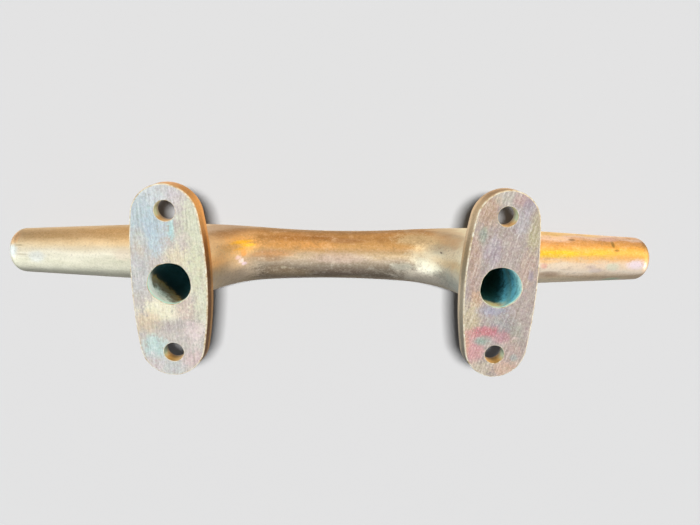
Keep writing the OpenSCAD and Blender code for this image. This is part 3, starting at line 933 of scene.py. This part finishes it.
floor = one_way_sheet("floor", FLOOR_Z, 1, "E6E8EA")
backdrop = one_way_sheet("backdrop", BACKDROP_Z, -1, "5E5E5E", BACKDROP_LAMP)
far_wall()


def hang(lamp, sheet=None):
    """Puts a lamp in the studio. It lights one sheet alone, or all but the two sheets."""
    bpy.context.collection.objects.link(lamp)
    reach = bpy.data.collections.new(lamp.name + "_reach")
    for other in [sheet] if sheet else [floor, backdrop]:
        reach.objects.link(other)
    for entry in reach.collection_objects:
        entry.light_linking.link_state = "INCLUDE" if sheet else "EXCLUDE"
    lamp.light_linking.receiver_collection = reach


def panel(name, place, size, glow, shade, aim_at=(0, 0, 30), sheet=None, on_gloss=True):
    """A soft studio panel, aimed at the cleat unless told otherwise; glow is how bright its
    face looks. Where on_gloss is off it shows only on matt surfaces."""
    light = bpy.data.lights.new(name, "AREA")
    light.shape = "RECTANGLE"
    light.size, light.size_y = size[0] * MM, size[1] * MM
    light.energy = glow * math.pi * light.size * light.size_y
    light.color = colour(shade)[:3]
    lamp = bpy.data.objects.new(name, light)
    lamp.location = Vector(place) * MM
    aim = Vector(aim_at) * MM - lamp.location
    lamp.rotation_euler = aim.to_track_quat("-Z", "Y").to_euler()
    lamp.visible_camera = False
    lamp.visible_glossy = on_gloss
    hang(lamp, sheet)


panel("panel_under", (0, 90, -640), (1000, 600), 1.15, "FCFEF8")
panel("panel_golden_side", (60, -660, -120), (1300, 1300), 0.82, "FFD298")
panel("panel_yellow_side", (450, -430, -360), (420, 420), 0.85, "FFE49C")
panel("panel_cream_side", (-380, -430, -400), (480, 480), 0.75, "FFF4DC")
panel("panel_low_side", (0, 600, -320), (1400, 620), 0.55, "F4F2F0")
panel("panel_low_left", (-520, 460, -200), (500, 600), 0.75, "F8FAFF")
panel("panel_left_end", (-660, 60, -120), (760, 700), 1.0, "FAFFFA")
panel("panel_right_end", (680, 20, -120), (760, 700), 1.15, "FFE4C0")
panel("panel_right_glint", (640, 150, -190), (160, 160), 4.0, "FFF2FA")
panel("panel_top", (330, -60, 760), (560, 900), 0.9, "FFD8A4")
panel("panel_top_left", (-480, -60, 700), (860, 900), 0.75, "FFF0DC")
panel("panel_top_side", (0, -760, 660), (1400, 620), 0.5, "FFD09C")
# Light that slants into the core holes and shows on their matt crust alone
panel("panel_left_crust", (380, -200, -420), (300, 300), 5.0, "F4FFFC", on_gloss=False)
panel("panel_right_crust", (-380, -200, -420), (300, 300), 3.2, "F4FCFF", on_gloss=False)
panel("panel_backdrop", BACKDROP_LAMP, (40, 20), 3470, "FFFFFF", aim_at=(*BACKDROP_LAMP[:2], 0),
      sheet=backdrop)

# The floor is lit from high above, evenly out to the horizon
high = bpy.data.lights.new("floor_light", "SUN")
high.energy = 2.6
high.angle = math.radians(40)
high_lamp = bpy.data.objects.new("floor_light", high)
high_lamp.rotation_euler = (math.radians(-12), math.radians(14), 0)
hang(high_lamp, floor)

world = bpy.data.worlds.new("studio")
bpy.context.scene.world = world
world.use_nodes = True
world.node_tree.nodes["Background"].inputs[0].default_value = colour("D6D6DA")
world.node_tree.nodes["Background"].inputs[1].default_value = 0.4

# Camera: close under the cleat, leaning a little, as the photograph was taken
CAMERA_PLACE = Vector((-2.390, -61.550, -197.301)) * MM
CAMERA_RIGHT = Vector((0.99926635, -0.02256749, -0.03094309))
CAMERA_UP = Vector((-0.01393468, -0.96681046, 0.25511441))
CAMERA_BACK = Vector((-0.03567339, -0.25449607, -0.96641563))
lens = bpy.data.cameras.new("camera")
lens.lens = 27.051
lens.sensor_width = 36
lens.sensor_fit = "HORIZONTAL"
lens.clip_start = 0.005
camera = bpy.data.objects.new("camera", lens)
bpy.context.collection.objects.link(camera)
turned = Matrix((CAMERA_RIGHT, CAMERA_UP, CAMERA_BACK)).transposed()
camera.matrix_world = Matrix.Translation(CAMERA_PLACE) @ turned.to_4x4()
bpy.context.scene.camera = camera
bpy.context.scene.view_settings.view_transform = "Standard"
